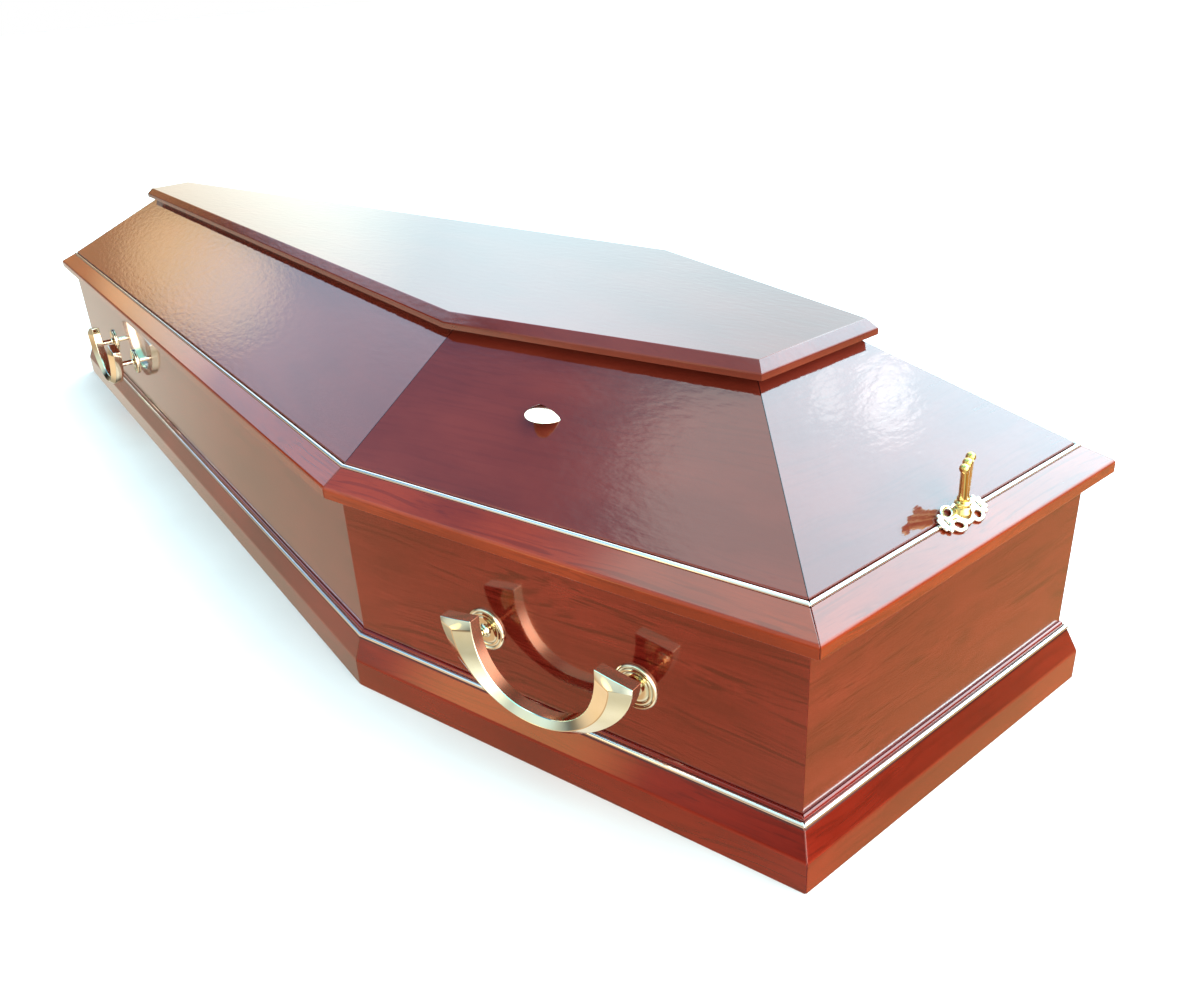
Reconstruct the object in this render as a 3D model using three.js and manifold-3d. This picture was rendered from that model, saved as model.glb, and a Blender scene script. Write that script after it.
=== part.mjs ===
// A six-sided wooden coffin: a hollow box on a moulded base, closed by a hipped lid that lifts off.
// Millimetres, +Z up, +X towards the head end. The origin is on the ground, under the middle of the length.
import * as THREE from "three";
import { mergeVertices } from "three/addons/utils/BufferGeometryUtils.js";
import Module from "manifold-3d";

const wasm = await Module();
wasm.setup();

// Plan of the box, measured over the outer faces of its walls.
const BODY_LENGTH = 1960;
const HEAD_WIDTH = 410;
const SHOULDER_WIDTH = 662;
const FOOT_WIDTH = 376;
const SHOULDER_FROM_HEAD = 508;

// Boards of the box.
const FLOOR_THICKNESS = 18;
const WALL_THICKNESS = 20;
const WALL_TOP = 239;

// Moulding around the foot of the box.
const BASE_REACH = 17;
const BASE_FACE_HEIGHT = 33.5;
const BASE_BEVEL_TOP = [6.9, 59.6];
const BASE_BEAD_SEAT_TOP = [3.1, 63.4];
const BASE_ROLL_TOP = 68;

// Rim that carries the lid and overhangs the walls.
const RIM_REACH = 20;
const RIM_FACE_HEIGHT = 12.5;
const RIM_SLOPE_TOP = [-5, 265.7];
const RIM_INNER = -36;
const LID_LANDING = 258;

// Metal beads laid along the mouldings.
const BEAD_WIDTH = 4.8;
const BEAD_CROWN = 2.4;
const BEAD_SIDES = 6;
const BEAD_SEAT_WIDTH = 5.2;
const LID_BEAD_SEAT_DEPTH = 1.4;

// Sloping panels and the level board of the lid.
const PANEL_OUTER = -10.5;
const PANEL_FOOT = [-5.5, 266];
const PANEL_TOP = [-160, 366];
const PANEL_THICKNESS = 16;
const BOARD_EDGE = -155.5;
const BOARD_COVE = 6.5;
const BOARD_COVE_HEIGHT = 10;
const BOARD_COVE_STEPS = 4;
const BOARD_FACE_HEIGHT = 6.5;
const BOARD_BEVEL = [9.5, 10];

// Bail handles, two on each long side.
const HANDLE_HEIGHT = 134;
const SHOULDER_HANDLE_FROM_HEAD = 245;
const LEG_HANDLE_FROM_SHOULDER = 1100;
const POST_HALF_SPACING = 87;
const POST_RADIUS = 4.6;
const ROSETTE_STEPS = [[23, 2.2], [21.5, 3.4], [16, 3], [8, 3.4], [6.4, 4.4]];
const POST_FOOT = 7.5;
const TURNED_SIDES = 20;
const GRIP_BACK = 26;
const GRIP_EDGE = 39.5;
const GRIP_RIDGE = 46.5;
const GRIP_END_RIDGE = 40;
const GRIP_OUTER = { halfSpan: 110, top: 29, bottom: -55, power: 1.8 };
const GRIP_INNER = { halfSpan: 70.5, top: 35.5, bottom: -42, power: 2.3 };
const GRIP_END_BEVEL = 0.945;
const GRIP_STEPS = 10;

// Small lips for lifting the lid, one on each shoulder panel.
const PULL_FROM_HEAD = 319;
const PULL_UP_SLOPE = 117;
const PULL_HALF_WIDTH = 18;
const PULL_REACH = 23.5;
const PULL_HALF_THICKNESS = 5.5;

// Thumbscrews with pierced plates, at the middle of the head and foot rims.
const SCREW_OUT = -6;
const PLATE_HALF_LENGTH = 31;
const PLATE_HALF_WIDTH = 14;
const PLATE_THICKNESS = 2.4;
const PLATE_LOBES = 10;
const PLATE_LOBE_STEPS = 6;
const PLATE_SCALLOP = 0.07;
const PLATE_HOLE_PLACE = [16, 6];
const PLATE_HOLE_RADII = [5, 2.6];
const PLATE_HOLE_TURN = 0.22;
const COLLAR_STEPS = [[8, 4], [6, 6], [7, 9], [7, 11], [4.5, 13]];
const COLLAR_HEIGHT = 16;
const WING_ROOT = 17;
const WING_WIDTH = 27;
const WING_HEIGHT = 29;
const WING_THICKNESS = 8;
const WING_TURN = THREE.MathUtils.degToRad(20.5);
const BALL_RADIUS = 4;
const BALL_SPACING = 12.5;

// Room left where two pieces meet.
const GAP = 0.3;

const WOOD = new THREE.MeshStandardMaterial({ color: 0x7a2c1a, roughness: 0.18 });
const LID_WOOD = new THREE.MeshStandardMaterial({ color: 0x5e2420, roughness: 0.15 });
const SILVER = new THREE.MeshStandardMaterial({ color: 0xf0f0ee, roughness: 0.15, metalness: 1 });
const GOLD = new THREE.MeshStandardMaterial({ color: 0xe6d7a4, roughness: 0.12, metalness: 1 });

const coffin = new THREE.Group();

// Adds a named mesh to the coffin, or to a placed group inside it.
function addPiece(name, geometry, material, parent = coffin) {
  const mesh = new THREE.Mesh(geometry, material);
  mesh.name = name;
  parent.add(mesh);
  return mesh;
}

// Corners of the plan, counter-clockwise from above, starting at the head's left corner.
const headX = BODY_LENGTH / 2;
const shoulderX = headX - SHOULDER_FROM_HEAD;
const PLAN = [
  new THREE.Vector2(headX, -HEAD_WIDTH / 2),
  new THREE.Vector2(headX, HEAD_WIDTH / 2),
  new THREE.Vector2(shoulderX, SHOULDER_WIDTH / 2),
  new THREE.Vector2(-headX, FOOT_WIDTH / 2),
  new THREE.Vector2(-headX, -FOOT_WIDTH / 2),
  new THREE.Vector2(shoulderX, -SHOULDER_WIDTH / 2),
];
const EDGE_NAMES = ["head", "shoulder_right", "leg_right", "foot", "leg_left", "shoulder_left"];
const HEAD_EDGE = 0;
const SHOULDER_RIGHT_EDGE = 1;
const LEG_RIGHT_EDGE = 2;
const FOOT_EDGE = 3;
const LEG_LEFT_EDGE = 4;
const SHOULDER_LEFT_EDGE = 5;

function planCorner(index) {
  return PLAN[index % PLAN.length];
}

// Direction of an edge, and the direction out of the box across it.
function edgeDirection(edge) {
  return planCorner(edge + 1).clone().sub(planCorner(edge)).normalize();
}

function edgeOutward(edge) {
  const along = edgeDirection(edge);
  return new THREE.Vector2(along.y, -along.x);
}

// A corner of the plan moved outwards, so that both of its edges move by the same distance.
function offsetCorner(index, out) {
  const before = edgeOutward((index + PLAN.length - 1) % PLAN.length);
  const after = edgeOutward(index % PLAN.length);
  const diagonal = before.clone().add(after);
  const reach = out / (1 + before.dot(after));
  return planCorner(index).clone().addScaledVector(diagonal, reach);
}

function offsetPlan(out) {
  return PLAN.map((corner, index) => offsetCorner(index, out));
}

// Closed skin through rings of points. The first and last rings are capped by triangulating a flat outline.
function loft(rings, outline) {
  const count = outline.length;
  const last = (rings.length - 1) * count;
  const caps = THREE.ShapeUtils.triangulateShape(outline, []);
  const clockwise = THREE.ShapeUtils.isClockWise(outline);
  const faces = [];
  for (const [a, first, second] of caps) {
    const [b, c] = clockwise ? [second, first] : [first, second];
    faces.push([a, c, b]);
    faces.push([last + a, last + b, last + c]);
  }
  for (let ring = 0; ring < last; ring += count) {
    for (let i = 0; i < count; i++) {
      const next = (i + 1) % count;
      faces.push([ring + i, ring + next, ring + count + next]);
      faces.push([ring + i, ring + count + next, ring + count + i]);
    }
  }
  const points = rings.flat();
  let volume = 0;
  for (const [a, b, c] of faces) {
    volume += points[a].dot(points[b].clone().cross(points[c]));
  }
  const outward = volume > 0 ? faces : faces.map(([a, b, c]) => [a, c, b]);
  const geometry = new THREE.BufferGeometry().setFromPoints(points);
  geometry.setIndex(outward.flat());
  return geometry;
}

// A length of moulding along one edge of the plan or more, mitred at its two ends.
// The section holds points of distance out from the walls and height.
function mouldingRun(section, firstEdge, edgeCount = 1) {
  const lastEdge = firstEdge + edgeCount - 1;
  const rings = [];
  for (let step = 0; step <= edgeCount; step++) {
    const shift = new THREE.Vector2();
    if (step === 0) shift.addScaledVector(edgeDirection(firstEdge), GAP / 2);
    if (step === edgeCount) shift.addScaledVector(edgeDirection(lastEdge), -GAP / 2);
    rings.push(
      section.map(([out, height]) => {
        const corner = offsetCorner(firstEdge + step, out).add(shift);
        return new THREE.Vector3(corner.x, corner.y, height);
      }),
    );
  }
  return loft(rings, section.map(([out, height]) => new THREE.Vector2(out, height)));
}

// A level board that follows the plan, with an edge given from its underside to its top.
function planBoard(edge) {
  const rings = edge.map(([out, height]) =>
    offsetPlan(out).map((corner) => new THREE.Vector3(corner.x, corner.y, height)),
  );
  return loft(rings, offsetPlan(edge[0][0]));
}

// The seat of a bead between two points of a section: its middle, and the ways across it and out of it.
function beadSeat(start, end) {
  const from = new THREE.Vector2(...start);
  const to = new THREE.Vector2(...end);
  const across = to.clone().sub(from).normalize();
  const proud = new THREE.Vector2(across.y, -across.x);
  const middle = from.add(to).multiplyScalar(0.5).addScaledVector(proud, GAP);
  return { middle, across, proud };
}

// Points of a half-round bead with its flat back on that seat.
function beadSection({ middle, across, proud }) {
  return Array.from({ length: BEAD_SIDES + 1 }, (_, i) => {
    const turn = (Math.PI * i) / BEAD_SIDES;
    const point = middle.clone();
    point.addScaledVector(across, (-BEAD_WIDTH / 2) * Math.cos(turn));
    point.addScaledVector(proud, BEAD_CROWN * Math.sin(turn));
    return point.toArray();
  });
}

// One piece for each of the six edges.
function addSixRuns(prefix, section, material) {
  EDGE_NAMES.forEach((name, edge) => {
    addPiece(`${prefix}_${name}`, mouldingRun(section, edge), material);
  });
}

// A bead in four lengths: one across each end, and one bent along each long side.
function addBeads(prefix, section) {
  addPiece(`${prefix}_head`, mouldingRun(section, HEAD_EDGE), SILVER);
  addPiece(`${prefix}_right`, mouldingRun(section, SHOULDER_RIGHT_EDGE, 2), SILVER);
  addPiece(`${prefix}_foot`, mouldingRun(section, FOOT_EDGE), SILVER);
  addPiece(`${prefix}_left`, mouldingRun(section, LEG_LEFT_EDGE, 2), SILVER);
}

// Box: the floor board, and six walls that stand on it.
addPiece("floor_board", planBoard([[0, 0], [0, FLOOR_THICKNESS]]), WOOD);
addSixRuns(
  "wall",
  [
    [-WALL_THICKNESS, FLOOR_THICKNESS + GAP],
    [0, FLOOR_THICKNESS + GAP],
    [0, WALL_TOP],
    [-WALL_THICKNESS, WALL_TOP],
  ],
  WOOD,
);

// Base moulding: an upright face, a steep bevel, a seat for the bead and a small roll against the wall.
const rollRadius = BASE_BEAD_SEAT_TOP[0] - GAP;
addSixRuns(
  "base_moulding",
  [
    [GAP, 0],
    [BASE_REACH, 0],
    [BASE_REACH, BASE_FACE_HEIGHT],
    BASE_BEVEL_TOP,
    BASE_BEAD_SEAT_TOP,
    [BASE_BEAD_SEAT_TOP[0], BASE_ROLL_TOP - rollRadius],
    [GAP + rollRadius * Math.SQRT1_2, BASE_ROLL_TOP - rollRadius * (1 - Math.SQRT1_2)],
    [GAP, BASE_ROLL_TOP],
  ],
  WOOD,
);
addBeads("base_bead", beadSection(beadSeat(BASE_BEVEL_TOP, BASE_BEAD_SEAT_TOP)));

// Lid rim: it rests on the walls, slopes up to the bead and has a level landing for the panels.
const rimBottom = WALL_TOP + GAP;
const rimFaceTop = [RIM_REACH, WALL_TOP + RIM_FACE_HEIGHT];
const rimSlope = new THREE.Vector2(...RIM_SLOPE_TOP).sub(new THREE.Vector2(...rimFaceTop)).normalize();
const lidSeatFoot = [
  RIM_SLOPE_TOP[0] - LID_BEAD_SEAT_DEPTH * rimSlope.y,
  RIM_SLOPE_TOP[1] + LID_BEAD_SEAT_DEPTH * rimSlope.x,
];
const lidSeatTop = [
  lidSeatFoot[0] + BEAD_SEAT_WIDTH * rimSlope.x,
  lidSeatFoot[1] + BEAD_SEAT_WIDTH * rimSlope.y,
];
addSixRuns(
  "lid_rim",
  [
    [RIM_REACH, rimBottom],
    rimFaceTop,
    RIM_SLOPE_TOP,
    lidSeatFoot,
    lidSeatTop,
    [lidSeatTop[0], LID_LANDING],
    [RIM_INNER, LID_LANDING],
    [RIM_INNER, rimBottom],
  ],
  WOOD,
);
const lidBeadSeat = beadSeat(lidSeatFoot, lidSeatTop);
addBeads("lid_bead", beadSection(lidBeadSeat));

// Lid panels: six sloping boards, mitred along the hips.
// They are cut level where they stand on the rim and where they carry the top board.
const panelRise = (PANEL_TOP[1] - PANEL_FOOT[1]) / (PANEL_FOOT[0] - PANEL_TOP[0]);
const panelAngle = Math.atan(panelRise);
const panelDrop = PANEL_THICKNESS / Math.cos(panelAngle);
const panelSurface = (out) => PANEL_TOP[1] - panelRise * (out - PANEL_TOP[0]);
const panelUnderside = (height) => PANEL_TOP[0] + (PANEL_TOP[1] - panelDrop - height) / panelRise;
const panelBottom = LID_LANDING + GAP;
addSixRuns(
  "lid_panel",
  [
    [PANEL_OUTER, panelBottom],
    [PANEL_OUTER, panelSurface(PANEL_OUTER)],
    PANEL_TOP,
    [panelUnderside(PANEL_TOP[1]), PANEL_TOP[1]],
    [panelUnderside(panelBottom), panelBottom],
  ],
  LID_WOOD,
);

// Top board: a hollow curve under its edge, an upright face and a bevel up to the level top.
const boardBottom = PANEL_TOP[1] + GAP;
const boardEdge = Array.from({ length: BOARD_COVE_STEPS + 1 }, (_, i) => {
  const turn = (Math.PI / 2) * (i / BOARD_COVE_STEPS);
  const hollow = BOARD_COVE * Math.cos(turn) ** 2;
  return [BOARD_EDGE - hollow, boardBottom + BOARD_COVE_HEIGHT * Math.sin(turn)];
});
const boardFaceTop = PANEL_TOP[1] + BOARD_COVE_HEIGHT + BOARD_FACE_HEIGHT;
boardEdge.push([BOARD_EDGE, boardFaceTop]);
boardEdge.push([BOARD_EDGE - BOARD_BEVEL[0], boardFaceTop + BOARD_BEVEL[1]]);
addPiece("lid_top_board", planBoard(boardEdge), LID_WOOD);

// A group on an edge of the plan: X along the edge, Y outwards and Z up.
function edgeGroup(edge, fromStart, out, height) {
  const outward = edgeOutward(edge);
  const place = planCorner(edge).clone().addScaledVector(edgeDirection(edge), fromStart);
  place.addScaledVector(outward, out);
  const group = new THREE.Group();
  group.position.set(place.x, place.y, height);
  group.rotation.z = Math.atan2(-outward.x, outward.y);
  coffin.add(group);
  return group;
}

function edgeLength(edge) {
  return planCorner(edge).distanceTo(planCorner(edge + 1));
}

// Skin of a turned piece, from points of radius and distance along its axis.
function turned(profile) {
  const points = profile.map(([radius, height]) => new THREE.Vector2(radius, height));
  return new THREE.LatheGeometry(points, TURNED_SIDES);
}

// A round post on a stepped rosette, turned about the way out of the wall.
function postGeometry() {
  const [rosetteRadius] = ROSETTE_STEPS[0];
  const postEnd = GRIP_BACK - GAP;
  return turned([
    [0, GAP],
    [rosetteRadius, GAP],
    ...ROSETTE_STEPS,
    [POST_RADIUS, POST_FOOT],
    [POST_RADIUS, postEnd],
    [0, postEnd],
  ]);
}

// A point on a rounded U, where turn runs from -1 at one end to 1 at the other.
function bailPoint({ halfSpan, top, bottom, power }, turn) {
  const angle = (turn * Math.PI) / 2;
  const side = Math.abs(Math.sin(angle)) ** (2 / power);
  const depth = Math.abs(Math.cos(angle)) ** (2 / power);
  return new THREE.Vector2(Math.sign(turn) * halfSpan * side, top - (top - bottom) * depth);
}

// The grip: a roof-shaped bar bent to a U, broad at its ends, where the ridge runs out in a bevel.
function gripGeometry() {
  const half = Array.from({ length: GRIP_STEPS }, (_, i) => (GRIP_END_BEVEL * (i + 1)) / GRIP_STEPS);
  const turns = [-1, ...half.map((turn) => -turn).reverse(), 0, ...half, 1];
  const rings = turns.map((turn) => {
    const outer = bailPoint(GRIP_OUTER, turn);
    const inner = bailPoint(GRIP_INNER, turn);
    const middle = outer.clone().add(inner).multiplyScalar(0.5);
    const ridge = Math.abs(turn) === 1 ? GRIP_END_RIDGE : GRIP_RIDGE;
    return [
      new THREE.Vector3(outer.x, GRIP_BACK, outer.y),
      new THREE.Vector3(outer.x, GRIP_EDGE, outer.y),
      new THREE.Vector3(middle.x, ridge, middle.y),
      new THREE.Vector3(inner.x, GRIP_EDGE, inner.y),
      new THREE.Vector3(inner.x, GRIP_BACK, inner.y),
    ];
  });
  const section = rings[0].map((point) => new THREE.Vector2(point.x, point.y));
  return loft(rings, section);
}

// Handles, each a grip on two posts.
function addHandle(place, edge, fromStart) {
  const handle = edgeGroup(edge, fromStart, 0, HANDLE_HEIGHT);
  addPiece(`handle_grip_${place}`, gripGeometry(), GOLD, handle);
  const towardsHead = Math.sign(edgeOutward(edge).y);
  for (const [end, side] of [["head", towardsHead], ["foot", -towardsHead]]) {
    const post = addPiece(`handle_post_${place}_${end}`, postGeometry(), GOLD, handle);
    post.position.x = side * POST_HALF_SPACING;
  }
}

const shoulderLength = edgeLength(SHOULDER_LEFT_EDGE);
const legLength = edgeLength(LEG_LEFT_EDGE);
addHandle("shoulder_left", SHOULDER_LEFT_EDGE, shoulderLength - SHOULDER_HANDLE_FROM_HEAD);
addHandle("shoulder_right", SHOULDER_RIGHT_EDGE, SHOULDER_HANDLE_FROM_HEAD);
addHandle("leg_left", LEG_LEFT_EDGE, legLength - LEG_HANDLE_FROM_SHOULDER);
addHandle("leg_right", LEG_RIGHT_EDGE, LEG_HANDLE_FROM_SHOULDER);

// Solids for joining and cutting, from closed geometries and back.
function toSolid(geometry) {
  const bare = geometry.clone();
  bare.deleteAttribute("normal");
  bare.deleteAttribute("uv");
  const merged = mergeVertices(bare, 1e-4);
  return new wasm.Manifold(
    new wasm.Mesh({
      numProp: 3,
      vertProperties: new Float32Array(merged.getAttribute("position").array),
      triVerts: new Uint32Array(merged.index.array),
    }),
  );
}

function toGeometry(solid) {
  const mesh = solid.getMesh();
  const geometry = new THREE.BufferGeometry();
  geometry.setAttribute("position", new THREE.BufferAttribute(mesh.vertProperties, 3));
  geometry.setIndex(new THREE.BufferAttribute(mesh.triVerts, 1));
  return geometry;
}

// A block whose top face slopes down outwards, just above the origin, like the lid panels.
function panelBlock() {
  const size = 120;
  const block = new THREE.BoxGeometry(size, size, size);
  block.translate(0, 0, GAP - size / 2);
  block.rotateX(-panelAngle);
  return toSolid(block);
}

// Lid pull: a level, rounded lip that grows out of the sloping panel.
function pullGeometry() {
  const lip = new THREE.SphereGeometry(1, 22, 12);
  lip.scale(PULL_HALF_WIDTH, PULL_REACH, PULL_HALF_THICKNESS);
  return toGeometry(toSolid(lip).subtract(panelBlock()));
}

const pullOut = PANEL_FOOT[0] - PULL_UP_SLOPE * Math.cos(panelAngle);
const pullHeight = PANEL_FOOT[1] + PULL_UP_SLOPE * Math.sin(panelAngle);
for (const [side, edge, fromStart] of [
  ["left", SHOULDER_LEFT_EDGE, shoulderLength - PULL_FROM_HEAD],
  ["right", SHOULDER_RIGHT_EDGE, PULL_FROM_HEAD],
]) {
  const seat = edgeGroup(edge, fromStart, pullOut, pullHeight);
  addPiece(`lid_pull_${side}`, pullGeometry(), GOLD, seat);
}

// Pierced plate with a scalloped outline, level in its own frame, X along the rim.
function screwPlateGeometry() {
  const steps = PLATE_LOBES * PLATE_LOBE_STEPS;
  const points = Array.from({ length: steps }, (_, i) => {
    const angle = (2 * Math.PI * i) / steps;
    const swell = 1 + PLATE_SCALLOP * Math.cos(PLATE_LOBES * angle);
    const x = PLATE_HALF_LENGTH * swell * Math.cos(angle);
    const y = PLATE_HALF_WIDTH * swell * Math.sin(angle);
    return new THREE.Vector2(x, y);
  });
  const outline = new THREE.Shape(points);
  const [holeX, holeY] = PLATE_HOLE_PLACE;
  const [radiusX, radiusY] = PLATE_HOLE_RADII;
  for (const sideX of [-1, 1]) {
    for (const sideY of [-1, 1]) {
      const hole = new THREE.Path();
      const turn = PLATE_HOLE_TURN * sideX * sideY;
      hole.absellipse(sideX * holeX, sideY * holeY, radiusX, radiusY, 0, 2 * Math.PI, true, turn);
      outline.holes.push(hole);
    }
  }
  const extrusion = { depth: PLATE_THICKNESS, bevelEnabled: false, curveSegments: 10 };
  return new THREE.ExtrudeGeometry(outline, extrusion);
}

// The flat wing of a thumbscrew, standing on the origin and spread along X.
function wingGeometry() {
  const root = WING_ROOT / 2;
  const edge = WING_WIDTH / 2;
  const bend = WING_HEIGHT * 0.3;
  const shoulder = WING_HEIGHT * 0.9;
  const crest = WING_HEIGHT * 1.1;
  const outline = new THREE.Shape();
  outline.moveTo(-root, 0);
  outline.lineTo(root, 0);
  outline.quadraticCurveTo(edge, bend, edge, shoulder);
  outline.quadraticCurveTo(0, crest, -edge, shoulder);
  outline.quadraticCurveTo(-edge, bend, -root, 0);
  const extrusion = { depth: WING_THICKNESS, bevelEnabled: false, curveSegments: 6 };
  const wing = new THREE.ExtrudeGeometry(outline, extrusion);
  wing.translate(0, 0, -WING_THICKNESS / 2);
  wing.rotateX(Math.PI / 2);
  return wing;
}

// Thumbscrew: a turned collar and a flat wing with three balls on its top edge, cut to stand on the plate.
function thumbscrewGeometry() {
  const [collarRadius] = COLLAR_STEPS[0];
  const collar = turned([
    [0, -collarRadius],
    [collarRadius, -collarRadius],
    ...COLLAR_STEPS,
    [COLLAR_STEPS.at(-1)[0], COLLAR_HEIGHT],
    [0, COLLAR_HEIGHT],
  ]);
  collar.rotateX(Math.PI / 2);
  const wing = wingGeometry();
  wing.translate(0, 0, COLLAR_HEIGHT - 1);
  let screw = toSolid(collar).add(toSolid(wing));
  for (const place of [-1, 0, 1]) {
    const ball = new THREE.SphereGeometry(BALL_RADIUS, 12, 8);
    ball.translate(place * BALL_SPACING, 0, COLLAR_HEIGHT + WING_HEIGHT);
    screw = screw.add(toSolid(ball));
  }
  const geometry = toGeometry(screw);
  geometry.rotateZ(WING_TURN);
  return toGeometry(toSolid(geometry).subtract(panelBlock()));
}

// The plate rests on the crown of the lid bead, parallel to the lid panel.
// The screw stands upright on it.
const beadCrown = lidBeadSeat.middle.clone().addScaledVector(lidBeadSeat.proud, BEAD_CROWN);
const plateLift = beadCrown.y - panelSurface(beadCrown.x) + GAP;
for (const [end, edge] of [["head", HEAD_EDGE], ["foot", FOOT_EDGE]]) {
  const seat = edgeGroup(edge, edgeLength(edge) / 2, SCREW_OUT, panelSurface(SCREW_OUT) + plateLift);
  const plate = addPiece(`screw_plate_${end}`, screwPlateGeometry(), SILVER, seat);
  plate.rotation.x = -panelAngle;
  const screw = addPiece(`thumbscrew_${end}`, thumbscrewGeometry(), GOLD, seat);
  screw.position.z = PLATE_THICKNESS / Math.cos(panelAngle);
}

export default coffin;
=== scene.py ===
# %% [markdown]
# # A varnished wooden coffin, dressed around its solids
#
# The solids of the coffin already have their real sizes and places. This lesson makes each of them look
# like the real thing: stained wood under a thick gloss varnish, bright metal beads, and plated handles
# and screws. Everything is in metres. X runs along the coffin towards the head end, and Z is up.

import math

import bmesh
import bpy
from mathutils import Matrix, Vector


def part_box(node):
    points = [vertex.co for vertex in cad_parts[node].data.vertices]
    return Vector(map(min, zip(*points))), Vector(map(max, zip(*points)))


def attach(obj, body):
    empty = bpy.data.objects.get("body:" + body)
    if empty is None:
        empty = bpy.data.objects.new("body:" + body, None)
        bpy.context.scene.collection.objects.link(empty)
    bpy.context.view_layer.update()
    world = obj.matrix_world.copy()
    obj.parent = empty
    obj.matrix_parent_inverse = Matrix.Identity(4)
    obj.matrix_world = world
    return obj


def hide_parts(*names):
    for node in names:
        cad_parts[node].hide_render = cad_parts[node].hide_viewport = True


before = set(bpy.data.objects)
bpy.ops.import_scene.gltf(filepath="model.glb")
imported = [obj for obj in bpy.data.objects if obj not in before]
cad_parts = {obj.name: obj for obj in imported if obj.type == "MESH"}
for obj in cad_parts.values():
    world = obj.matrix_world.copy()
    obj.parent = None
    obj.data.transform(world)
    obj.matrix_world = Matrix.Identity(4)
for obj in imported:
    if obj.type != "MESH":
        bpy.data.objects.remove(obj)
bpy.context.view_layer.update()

# %% [markdown]
# ## The plan of the box
#
# A coffin is drawn from one six-sided plan. Walls, mouldings, rim and lid all follow it at some distance
# out or in, and meet in mitres at its corners. The plan could be typed in again, but then it could drift
# from the solids, so it is read from the floor board, whose corners are the plan's corners.

# %% Read the plan
EDGE_NAMES = ["leg_left", "shoulder_left", "head", "shoulder_right", "leg_right", "foot"]
floor_points = {(round(v.co.x, 5), round(v.co.y, 5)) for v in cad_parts["floor_board"].data.vertices}
plan = [Vector(point) for point in sorted(floor_points, key=lambda point: math.atan2(point[1], point[0]))]
print("plan corners:", [tuple(round(value, 3) for value in corner) for corner in plan])


def edge_way(edge):
    """Unit vector along an edge of the plan, counter-clockwise from above."""
    return (plan[(edge + 1) % 6] - plan[edge % 6]).normalized()


def edge_out(edge):
    """Unit vector out of the box, across an edge of the plan."""
    way = edge_way(edge)
    return Vector((way.y, -way.x))


def offset_corner(index, out):
    """A corner of the plan, moved so that both of its edges move out by the same distance."""
    before, after = edge_out(index - 1), edge_out(index)
    return plan[index % 6] + (before + after) * (out / (1 + before.dot(after)))


def edge_frame(edge):
    """Where a piece on an edge sits: X along the edge from its first corner, Y into the box, Z up."""
    way, inward = edge_way(edge), -edge_out(edge)
    matrix = Matrix.Identity(4)
    matrix.col[0] = (*way, 0, 0)
    matrix.col[1] = (*inward, 0, 0)
    matrix.col[3] = (*plan[edge % 6], 0, 1)
    return matrix


# %% [markdown]
# ## The camera
#
# The photograph was taken from above the head end, at the coffin's left, with the camera tipped a little
# to one side. A camera can be aimed by eye, but a few corners of the coffin give it exactly: its place,
# the point it looks at, its tip and its focal length were worked out from them. The picture was cropped,
# so the lens is also shifted a little.

# %% Place the camera
PHOTO_WIDTH, PHOTO_HEIGHT = 1178, 981
FOCAL_LENGTH_PIXELS = 1035.2
OPTICAL_CENTRE = (515.0, 484.1)
CAMERA_PLACE = Vector((1.3852, -0.7508, 0.7018))
CAMERA_AIM = Vector((0.2796, 0.0298, 0.0553))
CAMERA_TIP = math.radians(-5.19)

camera = bpy.data.objects.new("camera", bpy.data.cameras.new("camera"))
bpy.context.scene.collection.objects.link(camera)
bpy.context.scene.camera = camera
aim = (CAMERA_AIM - CAMERA_PLACE).to_track_quat("-Z", "Y").to_matrix().to_4x4()
camera.matrix_world = Matrix.Translation(CAMERA_PLACE) @ aim @ Matrix.Rotation(CAMERA_TIP, 4, "Z")
camera.data.sensor_width = 36
camera.data.lens = camera.data.sensor_width * FOCAL_LENGTH_PIXELS / PHOTO_WIDTH
camera.data.shift_x = (PHOTO_WIDTH / 2 - OPTICAL_CENTRE[0]) / PHOTO_WIDTH
camera.data.shift_y = (OPTICAL_CENTRE[1] - PHOTO_HEIGHT / 2) / PHOTO_WIDTH
shift = (round(camera.data.shift_x, 4), round(camera.data.shift_y, 4))
print("lens:", round(camera.data.lens, 2), "mm, shift:", shift)

# %% [markdown]
# ## Shader nodes in short
#
# A procedural material is a small network of nodes. Adding each one by hand takes many lines, so one
# helper makes a node, sets its options, and then fills its inputs: with a plain value, or with the output
# of another node.

# %% Helpers for nodes


def add_node(tree, kind, inputs=None, **options):
    """A new shader node. Its inputs, by name or number, are plain values or outputs of other nodes."""
    node = tree.nodes.new("ShaderNode" + kind)
    for name, value in options.items():
        setattr(node, name, value)
    for name, value in (inputs or {}).items():
        if isinstance(value, bpy.types.NodeSocket):
            tree.links.new(value, node.inputs[name])
        else:
            node.inputs[name].default_value = value
    return node


def colour_stops(tree, factor, stops):
    """A colour ramp: stops are pairs of a position and a colour."""
    ramp = add_node(tree, "ValToRGB", {"Fac": factor})
    elements = ramp.color_ramp.elements
    while len(elements) < len(stops):
        elements.new(1.0)
    for element, (position, colour) in zip(elements, stops):
        element.position = position
        element.color = (*colour, 1)
    return ramp.outputs["Color"]


def scaled_to(tree, value, low, high, to_low=0.0, to_high=1.0):
    """A value taken smoothly from one range to another."""
    inputs = {"Value": value, "From Min": low, "From Max": high, "To Min": to_low, "To Max": to_high}
    return add_node(tree, "MapRange", inputs, interpolation_type="SMOOTHSTEP").outputs["Result"]


def calculated(tree, operation, first, second):
    """A sum, product or other operation on two values."""
    return add_node(tree, "Math", {0: first, 1: second}, operation=operation).outputs["Value"]


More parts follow.
